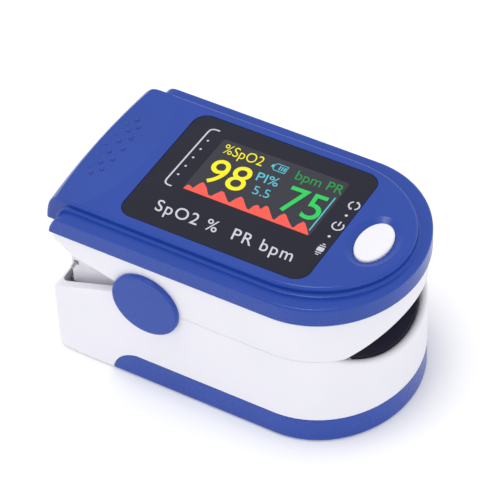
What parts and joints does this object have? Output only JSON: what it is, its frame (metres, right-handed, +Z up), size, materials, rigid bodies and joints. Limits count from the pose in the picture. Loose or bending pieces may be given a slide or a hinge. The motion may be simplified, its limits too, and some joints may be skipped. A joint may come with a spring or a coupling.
{
  "type": "fingertip pulse oximeter",
  "caption": "Clip-on fingertip pulse oximeter: sprung upper jaw on side hinges, display window and oval button on top, padded finger channel, sliding battery cover underneath.",
  "frame": {"origin": "bottom centre of the bounding box, on the surface the device rests on", "axes": "+X towards the finger opening and rounded nose, +Y to the left side, +Z up towards the display"},
  "size_m": [0.0574, 0.0352, 0.0307],
  "materials": {
    "blue_shell": "satin moulded ABS, royal blue",
    "white_shell": "satin moulded ABS, white",
    "white_button": "satin moulded plastic, white",
    "grey_frame": "moulded plastic, light grey",
    "dark_frame": "moulded plastic, black",
    "black_silicone": "soft silicone rubber, black",
    "clear_window": "clear tinted resin window",
    "black_window": "glossy acrylic lens, printed black on the back",
    "display_glass": "display glass",
    "circuit_board": "solder-masked fibreglass board",
    "chip_epoxy": "moulded epoxy",
    "sensor_chip": "photodiode package",
    "led_chip": "white LED package",
    "amber_flex": "polyimide flexible circuit",
    "screw_steel": "zinc plated steel",
    "pin_steel": "ground steel",
    "spring_steel": "spring wire",
    "contact_nickel": "nickel plated spring steel",
    "cell_jacket": "printed steel cell jacket"
  },
  "bodies": {
    "lower_jaw": {"lower_housing": "white_shell", "battery_cradle": "grey_frame", "finger_bed": "white_shell", "lower_finger_pad": "black_silicone", "sensor_window_lower": "clear_window", "photodiode": "sensor_chip", "sensor_board": "circuit_board", "sensor_ribbon": "amber_flex", "bed_screws": "screw_steel", "hinge_pin_left": "pin_steel", "hinge_pin_right": "pin_steel", "hinge_cap_left": "blue_shell", "hinge_cap_right": "blue_shell", "torsion_spring_left": "spring_steel", "torsion_spring_right": "spring_steel", "battery_1": "cell_jacket", "battery_2": "cell_jacket", "bridge_contact": "contact_nickel", "bridge_spring": "contact_nickel", "negative_contact": "contact_nickel", "negative_spring": "contact_nickel", "positive_contact": "contact_nickel"},
    "battery_door": {"battery_cover": "blue_shell"},
    "upper_jaw": {"top_cover": "blue_shell", "upper_housing": "white_shell", "upper_finger_pad": "black_silicone", "sensor_window_upper": "clear_window", "led_emitter": "led_chip", "led_board": "circuit_board", "display_window": "black_window", "display_panel": "display_glass", "display_bezel": "dark_frame", "display_flex": "amber_flex", "main_board": "circuit_board", "board_chips": "chip_epoxy", "tact_switch": "dark_frame", "cover_screws": "screw_steel", "spring_leg_left": "spring_steel", "spring_leg_right": "spring_steel"},
    "button": {"power_button": "white_button"},
    "switch": {"switch_plunger": "dark_frame"}
  },
  "joints": [
    {"name": "jaw_hinge", "type": "hinge", "parent": "lower_jaw", "child": "upper_jaw", "pos_m": [-0.00899, 0, 0.01814], "axis": [0, -1, 0], "range_deg": [0, 20], "stiffness_Nm_per_rad": 0.12, "springref_deg": -34.38, "deforming": ["sensor_ribbon"]},
    {"name": "cover_slide", "type": "slide", "parent": "lower_jaw", "child": "battery_door", "axis": [1, 0, 0], "range_m": [0, 0.05]},
    {"name": "button_press", "type": "slide", "parent": "upper_jaw", "child": "button", "axis": [0, 0, -1], "range_m": [0, 0.0005], "stiffness_N_per_m": 400, "springref_m": -0.001},
    {"name": "plunger_press", "type": "slide", "parent": "upper_jaw", "child": "switch", "axis": [0, 0, -1], "range_m": [0, 0.0005]}
  ],
  "couplings": [
    {"joint": "plunger_press", "follows": "button_press", "ratio": 1}
  ]
}
